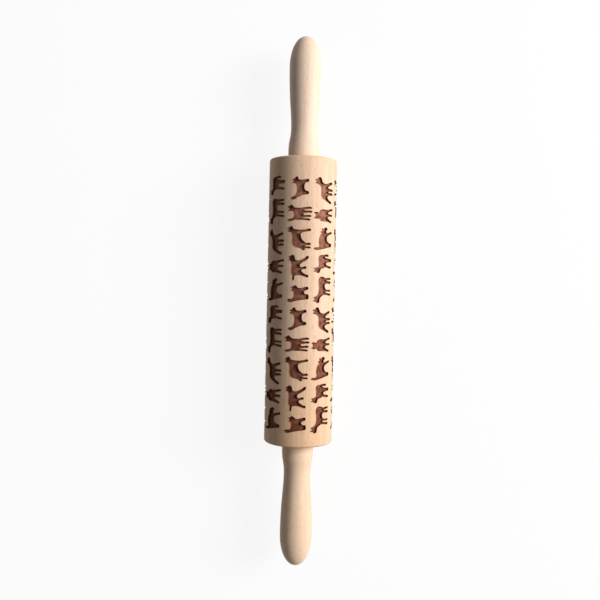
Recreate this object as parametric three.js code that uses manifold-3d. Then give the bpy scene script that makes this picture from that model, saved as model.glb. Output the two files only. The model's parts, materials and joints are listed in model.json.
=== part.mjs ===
// A revolving rolling pin of beech, 350 mm long, with rows of little cats cut into its barrel.
// The barrel turns on a steel axle in two nylon bushes. Both handles are screwed to the axle's
// ends, each by a brass insert in its base, and a thin steel washer parts each handle from its
// bush. Lengths are in millimetres. The pin lies along X, with its middle at the origin, Z up.

import * as THREE from "three";
import { mergeVertices } from "three/addons/utils/BufferGeometryUtils.js";
import Module from "manifold-3d";

const wasm = await Module();
wasm.setup();

// Barrel
const BARREL_LENGTH = 186;
const BARREL_DIAMETER = 45;
const BARREL_RIM_ROUND = 1.5;
const BARREL_RIM_STEPS = 1;

// Band of cats: how deep they are cut, how far apart their rows and columns are, about, and how
// much bare wood is left at each end. The barrel has a few flat sides under each column.
const CAT_DEPTH = 1.6;
const CAT_PITCH_ALONG = 16.7;
const CAT_PITCH_AROUND = 17.7;
const BAND_MARGIN_RIGHT = 12;
const BAND_MARGIN_LEFT = 8;
const SIDES_PER_COLUMN = 4;
const CUTTER_OVERRUN = 1;

// Axle
const AXLE_DIAMETER = 8;
const AXLE_END_CHAMFER = 0.8;
const AXLE_REACH_IN_HANDLE = 42;
const AXLE_SIDES = 24;

// Bush
const BUSH_WALL = 2;
const BUSH_LENGTH = 20;
const BUSH_FLANGE_DIAMETER = 22;
const BUSH_FLANGE_THICKNESS = 2;
const BUSH_FLANGE_STANDS_PROUD = 0.3;
const BUSH_LEAD_CHAMFER = 0.8;
const BUSH_SIDES = 24;

// Washer
const WASHER_DIAMETER = 18;
const WASHER_THICKNESS = 0.8;
const WASHER_SIDES = 24;

// Handle
const HANDLE_LENGTH = 80.3;
const HANDLE_BASE_DIAMETER = 20.6;
const HANDLE_BASE_LAND = 4;
const HANDLE_BASE_CHAMFER = 0.5;
const HANDLE_WAIST_DIAMETER = 17.6;
const HANDLE_WAIST_FROM_BASE = 20;
const HANDLE_BULB_DIAMETER = 21.2;
const HANDLE_BULB_FROM_TIP = 20;
const HANDLE_NOSE_REACH = 10;
const HANDLE_NOSE_FLAT_REACH = 7;
const HANDLE_WAIST_CURVE_SHARE = 0.25;
const HANDLE_BULB_CURVE_SHARE = 0.55;
const HANDLE_CURVE_STEPS = 5;
const HANDLE_SIDES = 24;
const DRILL_POINT_SLOPE = Math.tan(THREE.MathUtils.degToRad(31));

// Insert
const INSERT_WALL = 1.5;
const INSERT_LENGTH = 13;
const INSERT_FLANGE_DIAMETER = 15;
const INSERT_FLANGE_THICKNESS = 1.2;
const INSERT_RIDGE_COUNT = 2;
const INSERT_RIDGE_HEIGHT = 0.6;
const INSERT_RIDGE_WIDTH = 1;
const INSERT_SIDES = 16;

// Clearances
const RUNNING_CLEARANCE = 0.3;
const SEAT_CLEARANCE = 0.3;

// Sizes and places that follow from those above, each measured outwards from the pin's middle
const barrelRadius = BARREL_DIAMETER / 2;
const axleRadius = AXLE_DIAMETER / 2;
const boreOverAxle = axleRadius + RUNNING_CLEARANCE;
const bushRadius = boreOverAxle + BUSH_WALL;
const barrelEnd = BARREL_LENGTH / 2;
const bushFace = barrelEnd + BUSH_FLANGE_STANDS_PROUD;
const washerStart = bushFace + RUNNING_CLEARANCE;
const handleStart = washerStart + WASHER_THICKNESS + SEAT_CLEARANCE;
const insertRadius = boreOverAxle + INSERT_WALL;

// The band holds whole rows along the barrel and whole columns round it.
const bandLength = BARREL_LENGTH - BAND_MARGIN_LEFT - BAND_MARGIN_RIGHT;
const rowCount = Math.max(1, Math.round(bandLength / CAT_PITCH_ALONG));
const columnCount = Math.max(3, Math.round((Math.PI * BARREL_DIAMETER) / CAT_PITCH_AROUND));
const columnPitch = (Math.PI * BARREL_DIAMETER) / columnCount;
const columnAngle = (2 * Math.PI) / columnCount;
const barrelSides = columnCount * SIDES_PER_COLUMN;

// Two sets of cats fill every other column. A cell is one column tall, and its cell share says how
// much of its column's length it takes beside the other cells. A cat's size is in shares of its
// cell, and its outline is in shares of that size, with its feet at 0.
const catSetsShares = [
  [
    {
      name: "tail up",
      cellShare: 12,
      sizeShares: [0.8, 0.66],
      outlineShares: [
        [0.05, 1], [0.21, 0.68], [0.66, 0.64], [0.74, 0.94], [0.9, 0.91], [1, 0.67],
        [0.87, 0.55], [0.9, 0], [0.81, 0], [0.72, 0.33], [0.41, 0.31], [0.32, 0], [0.24, 0],
        [0.21, 0.43], [0, 0.86],
      ],
    },
    {
      name: "standing",
      cellShare: 9,
      sizeShares: [0.75, 0.92],
      outlineShares: [
        [0.05, 1], [0.2, 0.73], [0.61, 0.74], [0.7, 0.99], [0.9, 0.98], [1, 0.8],
        [0.83, 0.67], [0.89, 0], [0.78, 0], [0.68, 0.38], [0.64, 0], [0.53, 0], [0.44, 0.4],
        [0.38, 0], [0.28, 0], [0.21, 0.4], [0.15, 0.05], [0.06, 0.05], [0.08, 0.64],
        [0, 0.86],
      ],
    },
    {
      name: "half sitting",
      cellShare: 12,
      sizeShares: [0.83, 0.87],
      outlineShares: [
        [0, 0.29], [0.15, 0.7], [0.29, 0.79], [0.71, 0.8], [0.79, 1], [0.91, 0.98],
        [1, 0.79], [0.87, 0.7], [0.85, 0.32], [0.91, 0], [0.82, 0], [0.71, 0.48],
        [0.4, 0.39], [0.3, 0], [0.22, 0], [0.19, 0.26], [0.15, 0], [0.08, 0], [0.08, 0.26],
      ],
    },
    {
      name: "walking",
      cellShare: 13,
      sizeShares: [0.83, 0.75],
      outlineShares: [
        [0, 0.74], [0.23, 0.82], [0.7, 0.85], [0.81, 1], [0.93, 0.97], [1, 0.74],
        [0.79, 0.58], [0.96, 0.03], [0.88, 0], [0.68, 0.44], [0.52, 0.45], [0.55, 0.11],
        [0.47, 0.11], [0.42, 0.39], [0.23, 0], [0.15, 0], [0.22, 0.38], [0.2, 0.67],
      ],
    },
    {
      name: "small",
      cellShare: 9,
      sizeShares: [0.78, 0.79],
      outlineShares: [
        [0.08, 1], [0.26, 0.67], [0.64, 0.66], [0.72, 0.81], [0.91, 0.79], [1, 0.6],
        [0.85, 0.49], [0.93, 0], [0.77, 0], [0.65, 0.31], [0.49, 0.31], [0.43, 0],
        [0.23, 0], [0.15, 0.46], [0, 0.83],
      ],
    },
  ],
  [
    {
      name: "trotting",
      cellShare: 13,
      sizeShares: [0.84, 0.87],
      outlineShares: [
        [0.02, 0.1], [0, 0.19], [0.2, 0.64], [0.63, 0.71], [0.76, 1], [0.89, 0.95],
        [1, 0.73], [0.77, 0.56], [0.85, 0.04], [0.77, 0.04], [0.6, 0.4], [0.57, 0],
        [0.51, 0], [0.44, 0.38], [0.41, 0], [0.35, 0], [0.28, 0.42], [0.17, 0.39],
      ],
    },
    {
      name: "seen from behind",
      cellShare: 8,
      sizeShares: [0.75, 0.89],
      outlineShares: [
        [0.26, 1], [0.47, 0.9], [0.68, 1], [0.68, 0.78], [0.86, 0.65], [0.84, 0.41], [1, 0],
        [0.86, 0], [0.64, 0.39], [0.59, 0.02], [0.46, 0.02], [0.33, 0.41], [0.11, 0.06],
        [0, 0.08], [0.11, 0.66], [0.27, 0.78],
      ],
    },
    {
      name: "sniffing",
      cellShare: 12,
      sizeShares: [0.81, 0.85],
      outlineShares: [
        [0.04, 1], [0.16, 0.73], [0.58, 0.73], [0.75, 0.63], [0.79, 0.71], [0.92, 0.64],
        [1, 0.36], [0.9, 0.31], [0.79, 0.37], [0.82, 0], [0.74, 0], [0.6, 0.39],
        [0.33, 0.37], [0.27, 0], [0.18, 0], [0.11, 0.45], [0, 0.84],
      ],
    },
    {
      name: "turning, facing left",
      cellShare: 9,
      sizeShares: [-0.88, 0.84],
      outlineShares: [
        [0.04, 0.64], [0.2, 0.78], [0.62, 0.76], [0.78, 1], [0.92, 0.95], [1, 0.74],
        [0.78, 0.66], [0.7, 0.41], [0.75, 0], [0.65, 0], [0.52, 0.42], [0.43, 0.38],
        [0.39, 0], [0.25, 0], [0.16, 0.45], [0.1, 0.2], [0, 0.28],
      ],
    },
    {
      name: "listening, facing left",
      cellShare: 13,
      sizeShares: [-0.87, 0.84],
      outlineShares: [
        [0.02, 0.65], [0.2, 0.76], [0.62, 0.74], [0.81, 1], [0.92, 0.95], [1, 0.74],
        [0.79, 0.65], [0.72, 0], [0.65, 0], [0.59, 0.38], [0.57, 0], [0.5, 0], [0.47, 0.45],
        [0.28, 0.46], [0.26, 0], [0.19, 0], [0.16, 0.32], [0.12, 0], [0.06, 0],
      ],
    },
  ],
];

const beech = new THREE.MeshStandardMaterial({ color: 0xe3c49b, roughness: 0.62, metalness: 0 });
const paleBeech = new THREE.MeshStandardMaterial({ color: 0xecd3ad, roughness: 0.58, metalness: 0 });
const steel = new THREE.MeshStandardMaterial({ color: 0xb9bcc0, roughness: 0.32, metalness: 1 });
const brass = new THREE.MeshStandardMaterial({ color: 0xc9a452, roughness: 0.38, metalness: 1 });
const nylon = new THREE.MeshStandardMaterial({ color: 0xece8dc, roughness: 0.5, metalness: 0 });

// Turns an outline of (radius, distance along the pin) about the X axis. The number of sides is
// even and the first is centred on straight up, so that a turned piece has a flat underneath.
function turned(outline, sides) {
  const geometry = new THREE.LatheGeometry(outline, sides, Math.PI / sides);
  return geometry.rotateZ(-Math.PI / 2);
}

function piece(name, geometry, material) {
  const mesh = new THREE.Mesh(geometry, material);
  mesh.name = name;
  return mesh;
}

function solid(geometry) {
  geometry.deleteAttribute("normal");
  geometry.deleteAttribute("uv");
  const welded = mergeVertices(geometry);
  const vertProperties = welded.getAttribute("position").array;
  const triVerts = new Uint32Array(welded.getIndex().array);
  return new wasm.Manifold(new wasm.Mesh({ numProp: 3, vertProperties, triVerts }));
}

function geometryOf(cutSolid) {
  const { vertProperties, triVerts } = cutSolid.getMesh();
  const geometry = new THREE.BufferGeometry();
  geometry.setAttribute("position", new THREE.BufferAttribute(vertProperties, 3));
  geometry.setIndex(new THREE.BufferAttribute(triVerts, 1));
  geometry.computeVertexNormals();
  return geometry;
}

// The barrel is bored right through for the bushes, and its ends are sunk for their flanges.
function barrelOutline() {
  const bore = bushRadius + SEAT_CLEARANCE;
  const sink = BUSH_FLANGE_DIAMETER / 2 + SEAT_CLEARANCE;
  const sinkFloor = bushFace - BUSH_FLANGE_THICKNESS - SEAT_CLEARANCE;
  const roundRadius = barrelRadius - BARREL_RIM_ROUND;
  const roundCentre = barrelEnd - BARREL_RIM_ROUND;
  const outline = new THREE.Path();
  outline.moveTo(bore, -sinkFloor);
  outline.lineTo(sink, -sinkFloor);
  outline.lineTo(sink, -barrelEnd);
  outline.absarc(roundRadius, -roundCentre, BARREL_RIM_ROUND, -Math.PI / 2, 0, false);
  outline.absarc(roundRadius, roundCentre, BARREL_RIM_ROUND, 0, Math.PI / 2, false);
  outline.lineTo(sink, barrelEnd);
  outline.lineTo(sink, sinkFloor);
  outline.lineTo(bore, sinkFloor);
  outline.closePath();
  return outline.getPoints(BARREL_RIM_STEPS);
}

// One cat's cutter, standing upright on top of the barrel. The drawing's height is laid round
// the barrel, so each point is set where it comes to lie when it is seen from straight above.
function catCutter(cat, cellLength, coreRadius) {
  const length = cat.sizeShares[0] * cellLength;
  const height = cat.sizeShares[1] * columnPitch;
  const points = cat.outlineShares.map(([along, up]) => {
    const angle = ((up - 0.5) * height) / barrelRadius;
    return new THREE.Vector2((along - 0.5) * length, barrelRadius * Math.sin(angle));
  });
  const bottom = coreRadius * Math.cos(columnAngle / 2) - CUTTER_OVERRUN;
  const depth = barrelRadius + CUTTER_OVERRUN - bottom;
  const cutter = new THREE.ExtrudeGeometry(new THREE.Shape(points), { depth, bevelEnabled: false });
  return cutter.translate(0, 0, bottom);
}

// All the cats are cut down to a core, so that their floors follow the round of the barrel.
// The columns are set half a side to the left of the top, and each pair starts one row lower.
function barrelWithCats() {
  const coreRadius = barrelRadius - CAT_DEPTH;
  const sideAngle = (2 * Math.PI) / barrelSides;
  const coreSolid = new THREE.CylinderGeometry(
    coreRadius, coreRadius, BARREL_LENGTH, barrelSides, 1, false, sideAngle / 2,
  );
  const core = solid(coreSolid.rotateZ(-Math.PI / 2));
  let barrel = solid(turned(barrelOutline(), barrelSides));
  for (let column = 0; column < columnCount; column++) {
    const cats = catSetsShares[column % catSetsShares.length];
    const shift = Math.floor(column / catSetsShares.length);
    const rows = Array.from({ length: rowCount }, (_, row) => cats[(row + shift) % cats.length]);
    const allShares = rows.reduce((sum, cat) => sum + cat.cellShare, 0);
    let cellEnd = barrelEnd - BAND_MARGIN_RIGHT;
    for (const cat of rows) {
      const cellLength = (bandLength * cat.cellShare) / allShares;
      const cutter = catCutter(cat, cellLength, coreRadius);
      cutter.translate(cellEnd - cellLength / 2, 0, 0);
      cutter.rotateX(column * columnAngle - sideAngle / 2);
      barrel = barrel.subtract(solid(cutter).subtract(core));
      cellEnd -= cellLength;
    }
  }
  return geometryOf(barrel);
}

function axleOutline() {
  const end = handleStart + AXLE_REACH_IN_HANDLE;
  return [
    new THREE.Vector2(0, -end),
    new THREE.Vector2(axleRadius - AXLE_END_CHAMFER, -end),
    new THREE.Vector2(axleRadius, -end + AXLE_END_CHAMFER),
    new THREE.Vector2(axleRadius, end - AXLE_END_CHAMFER),
    new THREE.Vector2(axleRadius - AXLE_END_CHAMFER, end),
    new THREE.Vector2(0, end),
  ];
}

// A flanged sleeve, with its leading end chamfered so that it starts into the barrel's bore.
function bushOutline() {
  const inner = bushFace - BUSH_LENGTH;
  const flangeBack = bushFace - BUSH_FLANGE_THICKNESS;
  return [
    new THREE.Vector2(boreOverAxle, inner),
    new THREE.Vector2(bushRadius - BUSH_LEAD_CHAMFER, inner),
    new THREE.Vector2(bushRadius, inner + BUSH_LEAD_CHAMFER),
    new THREE.Vector2(bushRadius, flangeBack),
    new THREE.Vector2(BUSH_FLANGE_DIAMETER / 2, flangeBack),
    new THREE.Vector2(BUSH_FLANGE_DIAMETER / 2, bushFace),
    new THREE.Vector2(boreOverAxle, bushFace),
    new THREE.Vector2(boreOverAxle, inner),
  ];
}

function washerOutline() {
  const washerEnd = washerStart + WASHER_THICKNESS;
  return [
    new THREE.Vector2(boreOverAxle, washerStart),
    new THREE.Vector2(WASHER_DIAMETER / 2, washerStart),
    new THREE.Vector2(WASHER_DIAMETER / 2, washerEnd),
    new THREE.Vector2(boreOverAxle, washerEnd),
    new THREE.Vector2(boreOverAxle, washerStart),
  ];
}

// A threaded sleeve with a flange at its mouth and saw-tooth ridges that bite into the wood.
function insertOutline() {
  const end = handleStart + INSERT_LENGTH;
  const flangeBack = handleStart + INSERT_FLANGE_THICKNESS;
  const ridgePitch = (end - flangeBack) / INSERT_RIDGE_COUNT;
  const points = [
    new THREE.Vector2(boreOverAxle, handleStart),
    new THREE.Vector2(INSERT_FLANGE_DIAMETER / 2, handleStart),
    new THREE.Vector2(INSERT_FLANGE_DIAMETER / 2, flangeBack),
    new THREE.Vector2(insertRadius, flangeBack),
  ];
  for (let i = 0; i < INSERT_RIDGE_COUNT; i++) {
    const ridge = flangeBack + (i + 0.5) * ridgePitch - INSERT_RIDGE_WIDTH / 2;
    points.push(new THREE.Vector2(insertRadius, ridge));
    points.push(new THREE.Vector2(insertRadius + INSERT_RIDGE_HEIGHT, ridge));
    points.push(new THREE.Vector2(insertRadius, ridge + INSERT_RIDGE_WIDTH));
  }
  points.push(new THREE.Vector2(insertRadius, end));
  points.push(new THREE.Vector2(boreOverAxle, end));
  points.push(new THREE.Vector2(boreOverAxle, handleStart));
  return points;
}

// The handle flares to a foot against the barrel, draws in to a waist, swells to a bulb under
// the palm and closes in a blunt nose. Its base is bored for the insert and the axle's end.
function handleOutline() {
  const baseRadius = HANDLE_BASE_DIAMETER / 2;
  const waistRadius = HANDLE_WAIST_DIAMETER / 2;
  const bulbRadius = HANDLE_BULB_DIAMETER / 2;
  const landEnd = handleStart + HANDLE_BASE_LAND;
  const waist = handleStart + HANDLE_WAIST_FROM_BASE;
  const tip = handleStart + HANDLE_LENGTH;
  const bulb = tip - HANDLE_BULB_FROM_TIP;
  const flare = (waist - landEnd) / 2;
  const swellStart = waist + (bulb - waist) * HANDLE_WAIST_CURVE_SHARE;
  const swellEnd = bulb - (bulb - waist) * HANDLE_BULB_CURVE_SHARE;
  const axleHole = boreOverAxle;
  const axleHoleEnd = handleStart + AXLE_REACH_IN_HANDLE + SEAT_CLEARANCE;
  const insertHole = insertRadius + INSERT_RIDGE_HEIGHT + SEAT_CLEARANCE;
  const insertHoleEnd = handleStart + INSERT_LENGTH + SEAT_CLEARANCE;
  const flangeSink = INSERT_FLANGE_DIAMETER / 2 + SEAT_CLEARANCE;
  const flangeSinkFloor = handleStart + INSERT_FLANGE_THICKNESS + SEAT_CLEARANCE;
  const outline = new THREE.Path();
  outline.moveTo(0, axleHoleEnd + axleHole * DRILL_POINT_SLOPE);
  outline.lineTo(axleHole, axleHoleEnd);
  outline.lineTo(axleHole, insertHoleEnd);
  outline.lineTo(insertHole, insertHoleEnd);
  outline.lineTo(insertHole, flangeSinkFloor);
  outline.lineTo(flangeSink, flangeSinkFloor);
  outline.lineTo(flangeSink, handleStart);
  outline.lineTo(baseRadius - HANDLE_BASE_CHAMFER, handleStart);
  outline.lineTo(baseRadius, handleStart + HANDLE_BASE_CHAMFER);
  outline.lineTo(baseRadius, landEnd);
  outline.bezierCurveTo(baseRadius, landEnd + flare, waistRadius, waist - flare, waistRadius, waist);
  outline.bezierCurveTo(waistRadius, swellStart, bulbRadius, swellEnd, bulbRadius, bulb);
  outline.bezierCurveTo(bulbRadius, bulb + HANDLE_NOSE_REACH, HANDLE_NOSE_FLAT_REACH, tip, 0, tip);
  return outline.getPoints(HANDLE_CURVE_STEPS);
}

// Both ends hold the same four pieces, and the left end is the right one turned half round.
function endPieces(side) {
  const end = new THREE.Group();
  end.add(piece(`bush_${side}`, turned(bushOutline(), BUSH_SIDES), nylon));
  end.add(piece(`washer_${side}`, turned(washerOutline(), WASHER_SIDES), steel));
  end.add(piece(`insert_${side}`, turned(insertOutline(), INSERT_SIDES), brass));
  end.add(piece(`handle_${side}`, turned(handleOutline(), HANDLE_SIDES), paleBeech));
  return end;
}

const rollingPin = new THREE.Group();
rollingPin.add(piece("barrel", barrelWithCats(), beech));
rollingPin.add(piece("axle", turned(axleOutline(), AXLE_SIDES), steel));
const rightEnd = endPieces("right");
const leftEnd = endPieces("left");
leftEnd.rotation.z = Math.PI;
rollingPin.add(rightEnd, leftEnd);

export default rollingPin;
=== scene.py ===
# A revolving rolling pin of beech, lying on a pale table and seen from straight above. Its barrel
# is cut all over with rows of little cats, scorched brown, which emboss the dough. Lengths are in
# metres, apart from the drawing of the cats, which is in shares. The pin lies along X.

import json
import math

import bmesh
import bpy
import numpy as np
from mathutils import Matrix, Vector
from mathutils.geometry import delaunay_2d_cdt

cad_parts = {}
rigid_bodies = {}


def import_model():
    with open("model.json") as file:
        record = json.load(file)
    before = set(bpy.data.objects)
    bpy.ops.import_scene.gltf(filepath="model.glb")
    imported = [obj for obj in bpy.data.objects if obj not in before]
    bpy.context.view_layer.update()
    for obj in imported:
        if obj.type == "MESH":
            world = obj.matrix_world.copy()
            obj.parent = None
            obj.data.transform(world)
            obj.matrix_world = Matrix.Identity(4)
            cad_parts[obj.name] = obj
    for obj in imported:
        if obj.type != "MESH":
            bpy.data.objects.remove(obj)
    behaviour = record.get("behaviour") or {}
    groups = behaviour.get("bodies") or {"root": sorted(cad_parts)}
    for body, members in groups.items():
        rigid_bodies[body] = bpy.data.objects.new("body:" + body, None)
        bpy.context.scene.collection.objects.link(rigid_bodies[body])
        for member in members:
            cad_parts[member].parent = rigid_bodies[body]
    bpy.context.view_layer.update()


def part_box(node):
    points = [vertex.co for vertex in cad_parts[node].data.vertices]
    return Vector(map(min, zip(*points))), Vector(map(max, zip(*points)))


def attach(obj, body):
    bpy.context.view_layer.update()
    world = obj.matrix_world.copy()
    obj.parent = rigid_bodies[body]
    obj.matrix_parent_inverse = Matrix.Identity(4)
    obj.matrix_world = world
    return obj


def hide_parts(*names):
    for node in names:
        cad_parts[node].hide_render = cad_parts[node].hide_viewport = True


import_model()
MM = 0.001


# The camera
# It hangs over the barrel, a little nearer to the right handle, and looks straight down. That
# handle points up in the picture, and the pin leans a little to the picture's right.
CAMERA_HEIGHT = 496.7 * MM
CAMERA_LENS = 44.93
CAMERA_SENSOR = 36
CAMERA_PLACE = (15 * MM, 0.78 * MM)
CAMERA_SHIFT_SHARES = (0, -0.0368)
PIN_LEAN = math.radians(1.22)

camera = bpy.data.objects.new("camera", bpy.data.cameras.new("camera"))
camera.data.lens = CAMERA_LENS
camera.data.sensor_width = CAMERA_SENSOR
camera.data.shift_x, camera.data.shift_y = CAMERA_SHIFT_SHARES
camera.location = (*CAMERA_PLACE, CAMERA_HEIGHT)
camera.rotation_euler = (0, 0, PIN_LEAN - math.pi / 2)
bpy.context.scene.collection.objects.link(camera)
bpy.context.scene.camera = camera
bpy.context.scene.view_settings.view_transform = "Standard"


# The table and the light
# A plain pale table, which shows white to the camera but keeps the pin's shadow. One lamp stands
# low at the picture's right, and the pale room fills in the side that it leaves dark.
WHITE = (1, 1, 1, 1)
TABLE_SIZE = 6
TABLE_COLOUR = (0.78, 0.7, 0.66, 1)
TABLE_GLOW_SHARE = 0.9
ROOM_LIGHT = 0.09
KEY_DISTANCE = 1.6
KEY_HEIGHT_ANGLE = math.radians(32.5)
KEY_SIDE_ANGLE = math.radians(16)
KEY_SIZE = 0.8
KEY_POWER = 34
KEY_COLOUR = (1.04, 1.0, 1.0)


def node(tree, kind, inputs=None, **settings):
    """Adds a node. Each input is given a value, or is joined to the output that is given for it."""
    made = tree.nodes.new(kind)
    for name, value in settings.items():
        setattr(made, name, value)
    for key, value in (inputs or {}).items():
        if isinstance(value, bpy.types.NodeSocket):
            tree.links.new(value, made.inputs[key])
        else:
            made.inputs[key].default_value = value
    return made


def maths(tree, operation, *values):
    """The output of a maths node, its inputs given as values or as outputs of other nodes."""
    inputs = dict(enumerate(values))
    return node(tree, "ShaderNodeMath", inputs, operation=operation).outputs[0]


def scaled(tree, value, factor):
    return maths(tree, "MULTIPLY", value, factor)


def blended(tree, share, first, second, how="MIX"):
    """The first colour, with a share of the second mixed in, or blended in the way that is said."""
    inputs = {0: share, 6: first, 7: second}
    return node(tree, "ShaderNodeMix", inputs, data_type="RGBA", blend_type=how).outputs[2]


def new_material(name):
    """A new material, its node tree emptied, and its output node."""
    material = bpy.data.materials.new(name)
    material.use_nodes = True
    material.node_tree.nodes.clear()
    output = material.node_tree.nodes.new("ShaderNodeOutputMaterial")
    return material, material.node_tree, output


def seen_directly(tree):
    """1 where the camera sees a surface itself, or in a gloss or through glass."""
    path = node(tree, "ShaderNodeLightPath")
    straight = maths(tree, "MAXIMUM", path.outputs["Is Camera Ray"], path.outputs["Is Glossy Ray"])
    return maths(tree, "MAXIMUM", straight, path.outputs["Is Transmission Ray"])


def table_white():
    """A white glow where it is seen directly, with a small share of plain white that takes the
    shadow. The light that it throws back on the pin has its own pale colour."""
    material, tree, output = new_material("table_white")
    seen = seen_directly(tree)
    lit = node(tree, "ShaderNodeBsdfDiffuse", {"Color": blended(tree, seen, TABLE_COLOUR, WHITE)})
    glow = node(tree, "ShaderNodeEmission", {"Color": WHITE, "Strength": 1.0})
    mixed = node(tree, "ShaderNodeMixShader", {
        0: scaled(tree, seen, TABLE_GLOW_SHARE), 1: lit.outputs[0], 2: glow.outputs[0],
    })
    tree.links.new(mixed.outputs[0], output.inputs["Surface"])
    return material


def pale_room():
    """White where it is seen directly, and a dim light to everything else."""
    world = bpy.data.worlds.new("pale_room")
    world.use_nodes = True
    tree = world.node_tree
    background = tree.nodes["Background"]
    background.inputs["Color"].default_value = WHITE
    shown = scaled(tree, seen_directly(tree), 1 - ROOM_LIGHT)
    tree.links.new(maths(tree, "ADD", shown, ROOM_LIGHT), background.inputs["Strength"])
    return world


bpy.ops.mesh.primitive_plane_add(size=TABLE_SIZE, location=(0, 0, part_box("barrel")[0].z))
table = bpy.context.object
table.name = "table"
table.data.materials.append(table_white())

bpy.context.scene.world = pale_room()

key = bpy.data.objects.new("key", bpy.data.lights.new("key", "AREA"))
key.data.size = KEY_SIZE
key.data.energy = KEY_POWER
key.data.color = KEY_COLOUR
key_reach = KEY_DISTANCE * math.cos(KEY_HEIGHT_ANGLE)
key.location = (
    key_reach * math.sin(KEY_SIDE_ANGLE),
    -key_reach * math.cos(KEY_SIDE_ANGLE),
    KEY_DISTANCE * math.sin(KEY_HEIGHT_ANGLE),
)
key.rotation_euler = key.location.to_track_quat("Z", "Y").to_euler()
bpy.context.scene.collection.objects.link(key)


# Barrel
# A turned and sanded cylinder of beech, bored right through for its bushes. A laser has cut the cats
# into it while it turned, which leaves their walls charred and their floors red brown. Painted shade
# darkens the floors along the foot of the walls, and the floors are darker towards the left end.
BARREL_RIM_ROUND = 1.5 * MM
BARREL_RIM_STEPS = 6
BORE_RADIUS = 6.6 * MM
SINK_RADIUS = 11.3 * MM
SINK_DEPTH = 2 * MM
BAND_MARGIN_RIGHT = 12 * MM
BAND_MARGIN_LEFT = 8 * MM
CAT_ROWS = 10
CAT_COLUMNS = 8
CATS_PER_SET = 5
CAT_DEPTH = 1.6 * MM
CAT_TOP_CHAMFER = 0.1 * MM
CAT_WALL_LEAN = 0.06 * MM
# How far from a cat's outline its char and its painted shade reach.
CHAR_AND_SHADE_REACH = 1.6 * MM
SIDES_PER_COLUMN = 4
STEPS_AROUND_CELL = 18
STEPS_ALONG_CELL = 11
CURVE_STEPS = 4
SHARP_ANGLE = math.radians(32)
WELD = 0.001 * MM

# Points fill the skin and the floors, and keep clear of the edges by a share of their own step. A
# ring of points close round each cat keeps the triangles along its edge small.
SKIN_GAP_SHARE = 0.45
FLOOR_STEP = 0.8 * MM
FLOOR_GAP_SHARE = 0.4
HALO_REACH = 0.5 * MM
HALO_GAP = 0.25 * MM
HALO_GAP_SHARE = 0.3
TRIANGLE_TOLERANCE = 1e-5 * MM

barrel_low, barrel_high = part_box("barrel")
barrel_radius = barrel_high.z
band_start = barrel_low.x + BAND_MARGIN_LEFT
band_end = barrel_high.x - BAND_MARGIN_RIGHT
cell_step = (band_end - band_start) / (CAT_ROWS * STEPS_ALONG_CELL)
column_pitch = 2 * math.pi * barrel_radius / CAT_COLUMNS
column_angle = 2 * math.pi / CAT_COLUMNS

# Each column lies over four flat sides of the solid, and its middle is over the edge between two
# of them.
band_turn = -column_angle / SIDES_PER_COLUMN / 2

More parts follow.
